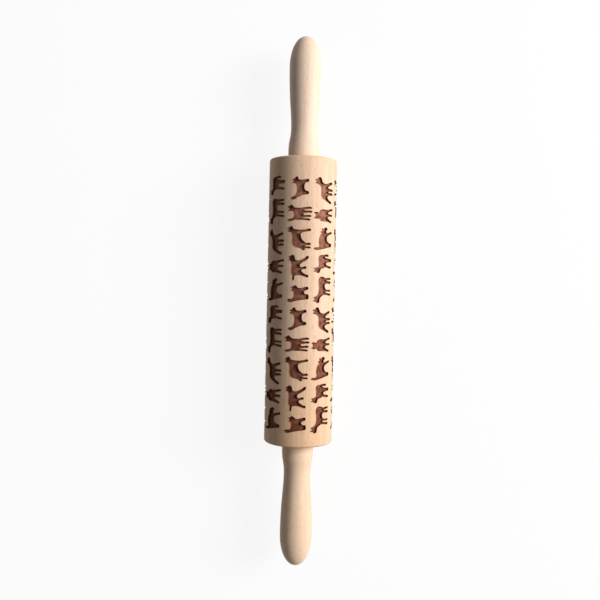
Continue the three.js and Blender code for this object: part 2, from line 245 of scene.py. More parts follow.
# Two sets of cats, drawn facing right. Each has the number of steps that its cell is long, its size
# in shares of that cell, negative where it faces left, and its outline in shares of that size.
CAT_SHARES = [
    ("tail_up", 12, (0.8, 0.66), [
        (0.04, 1), (0.11, 0.95), (0.14, 0.81), (0.22, 0.71), (0.36, 0.66), (0.52, 0.65),
        (0.64, 0.69), (0.71, 0.77), (0.74, 0.92), (0.79, 0.87), (0.84, 0.87), (0.88, 0.93),
        (0.91, 0.81), (0.97, 0.75), (1, 0.68), (0.97, 0.6), (0.89, 0.57), (0.86, 0.41), (0.88, 0.21),
        (0.91, 0.06), (0.89, 0), (0.8, 0), (0.77, 0.12), (0.71, 0.22), (0.58, 0.25), (0.47, 0.23),
        (0.39, 0.16), (0.37, 0.06), (0.35, 0), (0.26, 0), (0.23, 0.14), (0.21, 0.31), (0.16, 0.47),
        (0.1, 0.62), (0.04, 0.72), (0, 0.88),
    ]),
    ("standing", 9, (0.75, 0.92), [
        (0.05, 0.99), (0.12, 0.93), (0.15, 0.81), (0.23, 0.74), (0.37, 0.72), (0.55, 0.73),
        (0.62, 0.77), (0.64, 0.87), (0.65, 0.97), (0.72, 0.93), (0.82, 0.94), (0.89, 1),
        (0.92, 0.92), (0.99, 0.86), (1, 0.8), (0.94, 0.75), (0.85, 0.71), (0.82, 0.57), (0.82, 0.44),
        (0.87, 0.27), (0.9, 0.1), (0.88, 0.02), (0.8, 0.01), (0.77, 0.15), (0.74, 0.29),
        (0.69, 0.32), (0.66, 0.22), (0.66, 0.07), (0.64, 0), (0.56, 0), (0.54, 0.15), (0.51, 0.29),
        (0.44, 0.34), (0.38, 0.29), (0.38, 0.2), (0.39, 0.07), (0.36, 0.03), (0.29, 0.04),
        (0.27, 0.19), (0.24, 0.35), (0.2, 0.4), (0.18, 0.28), (0.17, 0.14), (0.14, 0.07),
        (0.06, 0.07), (0.07, 0.22), (0.09, 0.38), (0.08, 0.53), (0.09, 0.65), (0.04, 0.75),
        (0, 0.89),
    ]),
    ("half_sitting", 12, (0.83, 0.87), [
        (0.01, 0.34), (0.07, 0.42), (0.1, 0.53), (0.13, 0.65), (0.21, 0.75), (0.36, 0.79),
        (0.53, 0.78), (0.69, 0.81), (0.75, 0.87), (0.78, 0.98), (0.82, 0.95), (0.88, 0.95),
        (0.92, 1), (0.94, 0.92), (0.99, 0.87), (1, 0.81), (0.96, 0.76), (0.89, 0.73), (0.86, 0.6),
        (0.85, 0.42), (0.87, 0.21), (0.91, 0.06), (0.89, 0.01), (0.83, 0), (0.79, 0.17),
        (0.75, 0.34), (0.68, 0.42), (0.56, 0.41), (0.44, 0.36), (0.34, 0.26), (0.3, 0.16),
        (0.31, 0.06), (0.29, 0.01), (0.23, 0), (0.21, 0.16), (0.18, 0.27), (0.15, 0.17),
        (0.15, 0.05), (0.13, 0.01), (0.08, 0.01), (0.08, 0.18), (0.07, 0.27), (0.03, 0.23),
        (0, 0.27),
    ]),
    ("walking", 13, (0.83, 0.75), [
        (0, 0.73), (0.05, 0.78), (0.16, 0.77), (0.26, 0.83), (0.4, 0.85), (0.57, 0.83), (0.7, 0.86),
        (0.77, 0.9), (0.8, 0.99), (0.84, 0.95), (0.89, 0.95), (0.93, 1), (0.95, 0.9), (0.99, 0.84),
        (1, 0.76), (0.96, 0.7), (0.89, 0.67), (0.81, 0.64), (0.78, 0.5), (0.82, 0.35), (0.89, 0.18),
        (0.96, 0.08), (0.96, 0.01), (0.89, 0), (0.81, 0.11), (0.73, 0.27), (0.67, 0.38),
        (0.59, 0.42), (0.53, 0.38), (0.53, 0.27), (0.56, 0.17), (0.54, 0.11), (0.48, 0.11),
        (0.46, 0.25), (0.42, 0.34), (0.35, 0.32), (0.28, 0.21), (0.23, 0.09), (0.23, 0.02),
        (0.15, 0), (0.14, 0.06), (0.17, 0.21), (0.21, 0.36), (0.22, 0.53), (0.19, 0.67), (0.1, 0.68),
    ]),
    ("small", 9, (0.78, 0.79), [
        (0.08, 1), (0.18, 0.94), (0.2, 0.77), (0.27, 0.71), (0.43, 0.68), (0.58, 0.69), (0.67, 0.72),
        (0.7, 0.81), (0.76, 0.77), (0.84, 0.77), (0.9, 0.82), (0.93, 0.73), (0.99, 0.68), (1, 0.61),
        (0.96, 0.55), (0.88, 0.51), (0.85, 0.37), (0.91, 0.19), (0.94, 0.07), (0.91, 0.02),
        (0.79, 0.02), (0.75, 0.12), (0.68, 0.2), (0.57, 0.21), (0.49, 0.14), (0.48, 0.05), (0.44, 0),
        (0.23, 0), (0.18, 0.15), (0.15, 0.35), (0.1, 0.55), (0.05, 0.69), (0, 0.86),
    ]),
    ("trotting", 13, (0.84, 0.87), [
        (0.03, 0.1), (0, 0.17), (0.05, 0.32), (0.12, 0.48), (0.18, 0.61), (0.28, 0.69), (0.44, 0.7),
        (0.6, 0.71), (0.7, 0.78), (0.74, 0.87), (0.77, 0.98), (0.81, 0.94), (0.86, 0.94), (0.9, 1),
        (0.92, 0.9), (0.98, 0.84), (1, 0.77), (0.97, 0.71), (0.9, 0.68), (0.82, 0.64), (0.76, 0.53),
        (0.77, 0.39), (0.82, 0.23), (0.85, 0.1), (0.84, 0.06), (0.77, 0.06), (0.74, 0.17),
        (0.68, 0.28), (0.62, 0.34), (0.59, 0.27), (0.58, 0.15), (0.57, 0.02), (0.51, 0),
        (0.49, 0.14), (0.48, 0.27), (0.45, 0.31), (0.42, 0.25), (0.43, 0.12), (0.41, 0.03),
        (0.36, 0.01), (0.34, 0.16), (0.32, 0.29), (0.27, 0.36), (0.2, 0.35), (0.13, 0.25),
        (0.08, 0.12),
    ]),
    ("seen_from_behind", 8, (0.75, 0.89), [
        (0.28, 1), (0.38, 0.94), (0.55, 0.94), (0.66, 1), (0.7, 0.88), (0.66, 0.78), (0.83, 0.73),
        (0.91, 0.58), (0.89, 0.42), (0.94, 0.23), (1, 0.05), (0.96, 0), (0.87, 0.02), (0.82, 0.17),
        (0.74, 0.28), (0.64, 0.31), (0.6, 0.2), (0.59, 0.08), (0.56, 0.03), (0.47, 0.04),
        (0.46, 0.17), (0.42, 0.29), (0.33, 0.33), (0.24, 0.27), (0.16, 0.17), (0.12, 0.09),
        (0.02, 0.08), (0, 0.15), (0.07, 0.35), (0.08, 0.53), (0.09, 0.66), (0.17, 0.75),
        (0.28, 0.78), (0.23, 0.87),
    ]),
    ("sniffing", 12, (0.81, 0.85), [
        (0.04, 1), (0.1, 0.97), (0.12, 0.83), (0.17, 0.75), (0.32, 0.77), (0.51, 0.76), (0.66, 0.7),
        (0.74, 0.63), (0.79, 0.71), (0.83, 0.64), (0.88, 0.61), (0.94, 0.65), (0.94, 0.55),
        (0.99, 0.47), (1, 0.38), (0.96, 0.32), (0.89, 0.34), (0.83, 0.39), (0.77, 0.36),
        (0.78, 0.24), (0.82, 0.09), (0.82, 0.01), (0.76, 0), (0.72, 0.11), (0.67, 0.24),
        (0.59, 0.33), (0.46, 0.34), (0.37, 0.28), (0.32, 0.18), (0.31, 0.08), (0.28, 0.03),
        (0.18, 0.03), (0.15, 0.17), (0.12, 0.33), (0.08, 0.48), (0.05, 0.64), (0.01, 0.81),
    ]),
    ("turning", 9, (-0.88, 0.84), [
        (0.04, 0.59), (0.08, 0.72), (0.2, 0.78), (0.4, 0.76), (0.6, 0.76), (0.69, 0.8), (0.73, 0.9),
        (0.76, 0.99), (0.81, 0.94), (0.87, 0.94), (0.92, 1), (0.94, 0.9), (0.99, 0.84), (1, 0.77),
        (0.96, 0.71), (0.86, 0.69), (0.77, 0.64), (0.73, 0.51), (0.69, 0.42), (0.72, 0.24),
        (0.75, 0.08), (0.73, 0.02), (0.66, 0.02), (0.62, 0.17), (0.59, 0.3), (0.53, 0.36),
        (0.45, 0.33), (0.41, 0.2), (0.4, 0.06), (0.37, 0), (0.26, 0), (0.24, 0.14), (0.21, 0.32),
        (0.15, 0.45), (0.11, 0.36), (0.12, 0.26), (0.1, 0.2), (0.03, 0.22), (0, 0.32), (0.02, 0.46),
    ]),
    ("listening", 13, (-0.87, 0.84), [
        (0.02, 0.61), (0.07, 0.72), (0.21, 0.76), (0.42, 0.72), (0.6, 0.74), (0.71, 0.8),
        (0.77, 0.9), (0.8, 0.99), (0.84, 0.94), (0.89, 0.94), (0.93, 1), (0.95, 0.9), (0.99, 0.84),
        (1, 0.77), (0.97, 0.71), (0.89, 0.69), (0.8, 0.66), (0.72, 0.54), (0.69, 0.42), (0.71, 0.22),
        (0.73, 0.07), (0.71, 0.01), (0.66, 0.02), (0.64, 0.2), (0.61, 0.38), (0.57, 0.32),
        (0.57, 0.16), (0.58, 0.06), (0.55, 0.01), (0.51, 0.03), (0.51, 0.22), (0.48, 0.36),
        (0.39, 0.41), (0.3, 0.4), (0.27, 0.3), (0.27, 0.17), (0.28, 0.06), (0.25, 0.01), (0.2, 0.02),
        (0.19, 0.2), (0.16, 0.34), (0.14, 0.24), (0.13, 0.11), (0.12, 0.03), (0.07, 0.01),
        (0.06, 0.08), (0.06, 0.24), (0.07, 0.38), (0.04, 0.47),
    ]),
]


def smooth_ring(points, steps):
    """A closed curve through the points, as an array, with some steps from each to the next."""
    here = np.array(points, float)
    before, after, beyond = (np.roll(here, shift, axis=0) for shift in (1, -1, -2))
    curve = []
    for step in range(steps):
        t = step / steps
        curve.append(0.5 * (
            2 * here
            + (after - before) * t
            + (2 * before - 5 * here + 4 * after - beyond) * t ** 2
            + (3 * here - before - 3 * after + beyond) * t ** 3
        ))
    return np.stack(curve, axis=1).reshape(-1, 2)


def offset_ring(ring, distance):
    """The ring moved outwards by a distance. It runs anticlockwise."""
    along = np.roll(ring, -1, axis=0) - np.roll(ring, 1, axis=0)
    along /= np.linalg.norm(along, axis=1)[:, None]
    return ring + distance * np.stack([along[:, 1], -along[:, 0]], axis=1)


def distance_to_ring(points, ring):
    """How far each point is from the ring, and whether it is inside."""
    start, end = ring, np.roll(ring, -1, axis=0)
    edge = end - start
    reach = points[:, None] - start[None]
    share = np.clip((reach * edge).sum(-1) / (edge ** 2).sum(-1), 0, 1)
    distance = np.linalg.norm(reach - share[..., None] * edge, axis=-1).min(axis=1)
    above = (start[:, 1] > points[:, 1:2]) != (end[:, 1] > points[:, 1:2])
    height = np.where(edge[:, 1] == 0, 1, edge[:, 1])
    crossing = start[:, 0] + (points[:, 1:2] - start[:, 1]) / height * edge[:, 0]
    inside = ((points[:, 0:1] < crossing) & above).sum(axis=1) % 2 == 1
    return distance, inside


def kept_off(points, ring, gap, within):
    """The points on one side of the ring, apart from those that are closer to it than the gap."""
    distance, inside = distance_to_ring(points, ring)
    return points[(inside == within) & (distance > gap)]


def grid_points(width, height, step_x, step_y):
    """Points of a grid over a cell that is centred on 0, its border left out."""
    columns = max(2, round(width / step_x))
    rows = max(2, round(height / step_y))
    xs = np.linspace(-width / 2, width / 2, columns + 1)[1:-1]
    ys = np.linspace(-height / 2, height / 2, rows + 1)[1:-1]
    return np.stack(np.meshgrid(xs, ys), axis=-1).reshape(-1, 2)


def cell_border(steps_along):
    """The cell's border, anticlockwise, with the points that its neighbours share."""
    xs = (np.arange(steps_along + 1) - steps_along / 2) * cell_step
    ys = np.linspace(-column_pitch / 2, column_pitch / 2, STEPS_AROUND_CELL + 1)
    bottom = [(x, ys[0]) for x in xs[:-1]]
    right = [(xs[-1], y) for y in ys[:-1]]
    top = [(x, ys[-1]) for x in xs[:0:-1]]
    left = [(xs[0], y) for y in ys[:0:-1]]
    return np.array(bottom + right + top + left)


def triangles_between(rings, loose_points, wanted):
    """Points and triangles over the rings and the loose points, where their middle is wanted. The
    triangulation itself works in millimetres."""
    points = np.concatenate([*rings, loose_points]) / MM
    edges = []
    first = 0
    for ring in rings:
        count = len(ring)
        edges += [(first + i, first + (i + 1) % count) for i in range(count)]
        first += count
    flat = [Vector(point) for point in points]
    made, _, faces, *_ = delaunay_2d_cdt(flat, edges, [], 0, TRIANGLE_TOLERANCE / MM)
    made = np.array(made) * MM
    middles = np.array([made[face].mean(axis=0) for face in faces])
    kept = wanted(middles)
    return made, [face for face, keep in zip(faces, kept) if keep]


def cell_skin(steps_along, outline, rim):
    """The barrel's skin round a cat, out to the cell's border."""
    step_around = column_pitch / STEPS_AROUND_CELL
    grid = grid_points(steps_along * cell_step, column_pitch, cell_step, step_around)
    grid = kept_off(grid, rim, step_around * SKIN_GAP_SHARE, within=False)
    halo = kept_off(offset_ring(outline, HALO_REACH), rim, HALO_GAP, within=False)[::2]
    from_halo, _ = distance_to_ring(grid, halo)
    grid = grid[from_halo > step_around * HALO_GAP_SHARE]
    return triangles_between(
        [cell_border(steps_along), rim], np.concatenate([grid, halo]),
        lambda middles: ~distance_to_ring(middles, rim)[1],
    )


def cat_floor(steps_along, foot):
    """The floor of a cut cat."""
    grid = grid_points(steps_along * cell_step, column_pitch, FLOOR_STEP, FLOOR_STEP)
    grid = kept_off(grid, foot, FLOOR_STEP * FLOOR_GAP_SHARE, within=True)
    return triangles_between([foot], grid, lambda middles: distance_to_ring(middles, foot)[1])


def cat_tile(name, steps_along, size_shares, outline_shares):
    """One cell of the barrel's skin, round at the barrel's radius, with a cat cut into it."""
    size = np.array(size_shares) * (steps_along * cell_step, column_pitch)
    outline = (smooth_ring(outline_shares, CURVE_STEPS) - 0.5) * size
    after = np.roll(outline, -1, axis=0)
    if (outline[:, 0] * after[:, 1] - outline[:, 1] * after[:, 0]).sum() < 0:
        outline = outline[::-1]
    rim = offset_ring(outline, CAT_TOP_CHAMFER)
    foot = offset_ring(outline, -CAT_WALL_LEAN)

    bm = bmesh.new()
    char_and_shade_layer = bm.verts.layers.float.new("char_and_shade")
    cut_layer = bm.verts.layers.float.new("cut")

    def add_vertices(points, depth):
        """Rolls flat points onto the barrel, and notes how deep each one is and how near the outline,
        which sets the char and the painted shade along the cut's edge.
        """
        distance, _ = distance_to_ring(points, outline)
        added = []
        for (x, y), away in zip(points, distance):
            radius = barrel_radius - depth
            angle = y / barrel_radius
            vertex = bm.verts.new((x, radius * math.sin(angle), radius * math.cos(angle)))
            # How near the outline a point is, for the char and the painted shade along the cut's edge.
            vertex[char_and_shade_layer] = max(0.0, 1 - away / CHAR_AND_SHADE_REACH)
            vertex[cut_layer] = min(1.0, depth / CAT_TOP_CHAMFER)
            added.append(vertex)
        return added

    skin = cell_skin(steps_along, outline, rim)
    floor = cat_floor(steps_along, foot)
    for (points, faces), depth in ((skin, 0), (floor, CAT_DEPTH)):
        vertices = add_vertices(points, depth)
        for face in faces:
            bm.faces.new([vertices[i] for i in face])
    upper = add_vertices(rim, 0)
    for ring, depth in ((outline, CAT_TOP_CHAMFER), (foot, CAT_DEPTH)):
        lower = add_vertices(ring, depth)
        for i in range(len(ring)):
            after = (i + 1) % len(ring)
            bm.faces.new([upper[i], upper[after], lower[after], lower[i]])
        upper = lower
    bmesh.ops.remove_doubles(bm, verts=bm.verts, dist=WELD)
    mesh = bpy.data.meshes.new(name)
    bm.to_mesh(mesh)
    bm.free()
    return bpy.data.objects.new(name, mesh)


def input_socket(tree, name, kind):
    return tree.interface.new_socket(name=name, in_out="INPUT", socket_type=kind)


def cat_band_tree():
    """Sets a cell on each vertex of a host, which says by attributes which cell and how turned."""
    tree = bpy.data.node_groups.new("cat_band", "GeometryNodeTree")
    input_socket(tree, "Layout", "NodeSocketGeometry")
    input_socket(tree, "Cells", "NodeSocketCollection")
    input_socket(tree, "Material", "NodeSocketMaterial")
    tree.interface.new_socket(name="Geometry", in_out="OUTPUT", socket_type="NodeSocketGeometry")
    given = node(tree, "NodeGroupInput").outputs
    cell = node(tree, "GeometryNodeInputNamedAttribute", {"Name": "cell"}, data_type="INT")
    turn = node(tree, "GeometryNodeInputNamedAttribute", {"Name": "turn"}, data_type="FLOAT")
    cells = node(tree, "GeometryNodeCollectionInfo", {
        "Collection": given["Cells"], "Separate Children": True, "Reset Children": True,
    })
    placed = node(tree, "GeometryNodeInstanceOnPoints", {
        "Points": given["Layout"],
        "Instance": cells.outputs[0],
        "Pick Instance": True,
        "Instance Index": cell.outputs[0],
        "Rotation": node(tree, "ShaderNodeCombineXYZ", {"X": turn.outputs[0]}).outputs[0],
    })
    real = node(tree, "GeometryNodeRealizeInstances", {"Geometry": placed.outputs[0]})
    finished = node(tree, "GeometryNodeSetMaterial", {
        "Geometry": real.outputs[0], "Material": given["Material"],
    })
    node(tree, "NodeGroupOutput", {0: finished.outputs[0]})
    return tree


def cat_layout():
    """A vertex for every cell of the band. The columns use the sets by turns, and each pair of
    columns starts one cat further on in its set."""
    mesh = bpy.data.meshes.new("cat_band")
    places = []
    cells = []
    turns = []
    for column in range(CAT_COLUMNS):
        first = column % 2 * CATS_PER_SET
        end = band_end
        for row in range(CAT_ROWS):
            number = first + (row + column // 2) % CATS_PER_SET
            length = CAT_SHARES[number][1] * cell_step
            places.append((end - length / 2, 0, 0))
            cells.append(number)
            turns.append(column * column_angle + band_turn)
            end -= length
    mesh.from_pydata(places, [], [])
    mesh.attributes.new("cell", "INT", "POINT").data.foreach_set("value", cells)
    mesh.attributes.new("turn", "FLOAT", "POINT").data.foreach_set("value", turns)
    host = bpy.data.objects.new("cat_band", mesh)
    bpy.context.scene.collection.objects.link(host)
    return host


def grown(host, tree, values):
    """The plain mesh that a Geometry Nodes tree makes on an object, with its inputs set."""
    modifier = host.modifiers.new("grown", "NODES")
    modifier.node_group = tree
    for item in tree.interface.items_tree:
        if item.in_out == "INPUT" and item.name in values:
            modifier[item.identifier] = values[item.name]
    evaluated = host.evaluated_get(bpy.context.evaluated_depsgraph_get())
    mesh = bpy.data.meshes.new_from_object(evaluated)
    host.modifiers.clear()
    return mesh


def cat_band(material):
    """The barrel's skin with all its cats, as one plain mesh."""
    tiles = bpy.data.collections.new("cat_tiles")
    for number, (cat_name, *cat_shares) in enumerate(CAT_SHARES):
        tiles.objects.link(cat_tile(f"tile_{number}_{cat_name}", *cat_shares))
    host = cat_layout()
    mesh = grown(host, cat_band_tree(), {"Cells": tiles, "Material": material})
    for used in [host, *tiles.objects]:
        bpy.data.objects.remove(used)
    bpy.data.collections.remove(tiles)
    return mesh


def arc(centre_x, centre_radius, radius, start, end, steps):
    """Points (x, radius) of an arc, its angles measured from straight out of the axis."""
    points = []
    for i in range(steps + 1):
        angle = start + (end - start) * i / steps
        x = centre_x + radius * math.sin(angle)
        points.append((x, centre_radius + radius * math.cos(angle)))
    return points


def spin(bm, outline, steps, first_angle=0.0, closed=False):
    """Turns an outline of (x, radius) about the X axis. A point on the axis is a single vertex."""
    rings = []
    for x, radius in outline:
        if radius < WELD:
            rings.append([bm.verts.new((x, 0, 0))] * steps)
            continue
        ring = []
        for i in range(steps):
            angle = first_angle + 2 * math.pi * i / steps
            ring.append(bm.verts.new((x, radius * math.sin(angle), radius * math.cos(angle))))
        rings.append(ring)
    for lower, upper in zip(rings, rings[1:] + (rings[:1] if closed else [])):
        for i in range(steps):
            after = (i + 1) % steps
            corners = [lower[i], lower[after], upper[after], upper[i]]
            bm.faces.new(list(dict.fromkeys(corners)))


def finished_piece(name, bm, material, body, slot_name, *nodes):
    """Welds a mesh, points its faces outwards, and sets it on its body in place of CAD nodes."""
    bmesh.ops.remove_doubles(bm, verts=bm.verts, dist=WELD)
    bmesh.ops.recalc_face_normals(bm, faces=bm.faces)
    mesh = bpy.data.meshes.new(name)
    bm.to_mesh(mesh)
    bm.free()
    mesh.shade_smooth()
    mesh.set_sharp_from_angle(angle=SHARP_ANGLE)
    mesh.materials.clear()
    mesh.materials.append(material)
    piece = bpy.data.objects.new(name, mesh)
    bpy.context.scene.collection.objects.link(piece)
    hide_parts(*nodes)
    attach(piece, body)


def colour(red, green, blue):
    """A colour written as it shows, 0 to 255, turned by the sRGB curve into the light that it
    stands for."""
    light = []
    for value in (red, green, blue):
        share = value / 255
        light.append(share / 12.92 if share <= 0.04045 else ((share + 0.055) / 1.055) ** 2.4)
    return (*light, 1.0)


def smooth_step(tree, value, low, high):
    """0 below the low value and 1 above the high one, with a soft rise between them."""
    return node(tree, "ShaderNodeMapRange", {
        "Value": value, "From Min": low, "From Max": high,
    }, interpolation_type="SMOOTHSTEP").outputs[0]


def noise(tree, place, scales, detail=2, shift=(0, 0, 0)):
    """Noise that has its own scale along each axis."""
    mapped = node(tree, "ShaderNodeMapping", {"Vector": place, "Scale": scales, "Location": shift})
    inputs = {"Vector": mapped.outputs[0], "Scale": 1.0, "Detail": detail}
    return node(tree, "ShaderNodeTexNoise", inputs).outputs[0]


# The grain of beech. A row of three scales is about how many marks there are in a metre, first
# along the grain and then across it. A step is the range of a texture's values over which a mark
# comes up.
RING_SCALE = 55
RING_WAVER = 2.2
RING_DETAIL_SCALE = 0.6
CLOUD_SCALES = (9, 60, 60)
STREAK_SCALES = (22, 900, 900)
PORE_SCALES = (130, 5200, 5200)
RAY_SCALES = (330, 2100, 2100)
RAY_SHIFT = (3, 5, 7)
GRAIN_STEP = (0.3, 0.7)
PORE_STEP = (0.56, 0.7)
RAY_STEP = (0.6, 0.68)
END_GRAIN_STEP = (0.75, 1.0)
RING_SHARE = 0.22
CLOUD_SHARE = 0.34
STREAK_SHARE = 0.44
PORE_SHARE = 0.3
RAY_SHARE = 0.42
END_GRAIN_SHARE = 0.45
STREAK_HEIGHT = 0.6
PORE_DEPTH = 0.5
RAY_DEPTH = 0.25
WOOD_SHEEN_LEVEL = 0.25


def beech(tree, pale, deep, fleck, place_in_log):
    """Bare beech with its grain along X. Gives its place, colour, and height for a bump."""
    place = node(tree, "ShaderNodeTexCoord").outputs["Object"]
    in_log = node(tree, "ShaderNodeMapping", {"Vector": place, "Location": place_in_log}).outputs[0]
    rings = node(tree, "ShaderNodeTexWave", {
        "Vector": in_log, "Scale": RING_SCALE, "Distortion": RING_WAVER,
        "Detail Scale": RING_DETAIL_SCALE,
    }, wave_type="RINGS", rings_direction="X", wave_profile="SAW").outputs[1]
    clouds = smooth_step(tree, noise(tree, in_log, CLOUD_SCALES), *GRAIN_STEP)
    fibres = noise(tree, in_log, STREAK_SCALES, detail=3)
    streaks = smooth_step(tree, fibres, *GRAIN_STEP)
    pores = smooth_step(tree, noise(tree, in_log, PORE_SCALES), *PORE_STEP)
    rays = smooth_step(tree, noise(tree, in_log, RAY_SCALES, 1, RAY_SHIFT), *RAY_STEP)

    tone = scaled(tree, rings, RING_SHARE)
    tone = maths(tree, "ADD", tone, scaled(tree, clouds, CLOUD_SHARE))
    tone = maths(tree, "ADD", tone, scaled(tree, streaks, STREAK_SHARE))
    wood = blended(tree, tone, pale, deep)
    wood = blended(tree, scaled(tree, pores, PORE_SHARE), wood, deep)
    wood = blended(tree, scaled(tree, rays, RAY_SHARE), wood, fleck)
    normal = node(tree, "ShaderNodeNewGeometry").outputs["True Normal"]
    facing = node(tree, "ShaderNodeSeparateXYZ", {0: normal}).outputs[0]
    end_grain = smooth_step(tree, maths(tree, "ABSOLUTE", facing), *END_GRAIN_STEP)
    wood = blended(tree, scaled(tree, end_grain, END_GRAIN_SHARE), wood, deep)

    height = scaled(tree, fibres, STREAK_HEIGHT)
    height = maths(tree, "SUBTRACT", height, scaled(tree, pores, PORE_DEPTH))
    height = maths(tree, "SUBTRACT", height, scaled(tree, rays, RAY_DEPTH))
    return place, wood, height


def wooden_surface(tree, output, wood, roughness, height, bump_distance):
    bump = node(tree, "ShaderNodeBump", {"Height": height, "Distance": bump_distance})
    surface = node(tree, "ShaderNodeBsdfPrincipled", {
        "Base Color": wood, "Roughness": roughness, "Normal": bump.outputs[0],
        "Specular IOR Level": WOOD_SHEEN_LEVEL,
    })
    tree.links.new(surface.outputs[0], output.inputs["Surface"])


BARREL_PALE = colour(243, 215, 187)
BARREL_DEEP = colour(221, 184, 150)
BARREL_FLECK = colour(190, 143, 108)
BARREL_PLACE_IN_LOG = (0.0, 0.031, 0.052)
BARREL_WARMTH = (0.99, 0.925, 0.85, 1.0)
BARREL_ROUGHNESS = 0.56
BARREL_BUMP = 0.05 * MM
CUT_FLOOR = colour(170, 117, 94)
CUT_FLOOR_DEEP = colour(124, 78, 60)
# The dark of the cuts' edges: the laser's char on the walls, and painted shade where the floors meet
# the walls.
CUT_EDGE_CHAR_AND_SHADE = colour(126, 81, 58)
CUT_EDGE_STEP = (0.62, 1.0)
CUT_EDGE_RAGGEDNESS = 0.25
CUT_FLOOR_LEFT_DARKENING = (0.58, 0.44, 0.38, 1.0)
CUT_ROUGHNESS = 0.85
MOTTLE_SCALES = (420, 420, 420)
MOTTLE_STEP = (0.35, 0.65)
MOTTLE_HEIGHT = 2.0
LASER_LINE_SCALE = 620
LASER_LINE_WAVER = 0.6
LASER_LINE_HEIGHT = 0.5
SCORCH = colour(150, 104, 66)
SCORCH_STEP = (0.7, 1.0)
SCORCH_SHARE = 0.5


def barrel_beech():
    """Beech that is warmer towards the left end. Where it is cut it is red brown, darker towards the
    left end, and charred along the edges, with painted shade where the floors meet the walls.
    """
    material, tree, output = new_material("barrel_beech")
    place, wood, height = beech(tree, BARREL_PALE, BARREL_DEEP, BARREL_FLECK, BARREL_PLACE_IN_LOG)
    along = node(tree, "ShaderNodeSeparateXYZ", {0: place}).outputs[0]
    to_left = smooth_step(tree, along, 0.0, barrel_low.x)
    wood = blended(tree, to_left, wood, BARREL_WARMTH, "MULTIPLY")

    char_and_shade = node(tree, "ShaderNodeAttribute", attribute_name="char_and_shade").outputs["Fac"]
    cut = node(tree, "ShaderNodeAttribute", attribute_name="cut").outputs["Fac"]
    mottle = noise(tree, place, MOTTLE_SCALES, detail=3)
    mottled = smooth_step(tree, mottle, *MOTTLE_STEP)
    floor_tone = blended(tree, mottled, CUT_FLOOR, CUT_FLOOR_DEEP)
    # Char and painted shade darken the cut along its edges, at the foot of the walls.
    ragged_char_and_shade = maths(tree, "ADD", char_and_shade, scaled(tree, mottle, CUT_EDGE_RAGGEDNESS))
    edge = smooth_step(tree, ragged_char_and_shade, *CUT_EDGE_STEP)
    floor_tone = blended(tree, edge, floor_tone, CUT_EDGE_CHAR_AND_SHADE)
    # The cut floors are darker towards the left end.
    floor_left_darkening = smooth_step(tree, along, barrel_high.x, barrel_low.x)
    floor_tone = blended(tree, floor_left_darkening, floor_tone, CUT_FLOOR_LEFT_DARKENING, "MULTIPLY")
    scorched = scaled(tree, smooth_step(tree, char_and_shade, *SCORCH_STEP), SCORCH_SHARE)
    wood = blended(tree, scorched, wood, SCORCH)
    wood = blended(tree, cut, wood, floor_tone)

    laser_lines = node(tree, "ShaderNodeTexWave", {
        "Vector": place, "Scale": LASER_LINE_SCALE, "Distortion": LASER_LINE_WAVER,
    }, wave_type="BANDS", bands_direction="DIAGONAL").outputs[1]
    cut_height = maths(
        tree, "ADD",
        scaled(tree, laser_lines, LASER_LINE_HEIGHT), scaled(tree, mottle, MOTTLE_HEIGHT),
    )
    height = node(tree, "ShaderNodeMix", {0: cut, 2: height, 3: cut_height}).outputs[0]
    roughness = node(tree, "ShaderNodeMix", {0: cut, 2: BARREL_ROUGHNESS, 3: CUT_ROUGHNESS}).outputs[0]
    wooden_surface(tree, output, wood, roughness, height, BARREL_BUMP)
    return material


barrel_material = barrel_beech()
rim_radius = barrel_radius - BARREL_RIM_ROUND
right_rim = arc(
    barrel_high.x - BARREL_RIM_ROUND, rim_radius, BARREL_RIM_ROUND, 0, math.pi / 2, BARREL_RIM_STEPS,
)
left_rim = arc(
    barrel_low.x + BARREL_RIM_ROUND, rim_radius, BARREL_RIM_ROUND, -math.pi / 2, 0, BARREL_RIM_STEPS,
)
bm = bmesh.new()
bm.from_mesh(cat_band(barrel_material))
spin(bm, [
    (band_end, barrel_radius), *right_rim,
    (barrel_high.x, SINK_RADIUS), (barrel_high.x - SINK_DEPTH, SINK_RADIUS),
    (barrel_high.x - SINK_DEPTH, BORE_RADIUS), (barrel_low.x + SINK_DEPTH, BORE_RADIUS),
    (barrel_low.x + SINK_DEPTH, SINK_RADIUS), (barrel_low.x, SINK_RADIUS),
    *left_rim, (band_start, barrel_radius),
], CAT_COLUMNS * STEPS_AROUND_CELL, column_angle / 2 - band_turn)
finished_piece("barrel_cut", bm, barrel_material, "barrel", "barrel_beech", "barrel")


# Bushes
# A flanged sleeve of natural white nylon is pressed into each end of the barrel, and the axle
# runs in it. Its moulded edges are slightly round, and its leading end is chamfered.
BUSH_BORE_RADIUS = 4.3 * MM
BUSH_RADIUS = 6.3 * MM
BUSH_FLANGE_RADIUS = 11 * MM
BUSH_FLANGE_THICKNESS = 2 * MM
BUSH_LEAD_CHAMFER = 0.8 * MM
BUSH_EDGE = 0.25 * MM
BUSH_STEPS = 96
NYLON = colour(236, 232, 219)
NYLON_SHADE = colour(225, 219, 203)
NYLON_CLOUD_SCALES = (160, 160, 160)
NYLON_CLOUD_STEP = (0.35, 0.7)
NYLON_GRAIN_SCALES = (2400, 2400, 2400)
NYLON_BUMP = 0.01 * MM
NYLON_ROUGHNESS = (0.38, 0.5)
NYLON_SUBSURFACE_SHARE = 0.12
NYLON_SUBSURFACE_RADIUS = (1.2 * MM, 1.1 * MM, 0.9 * MM)


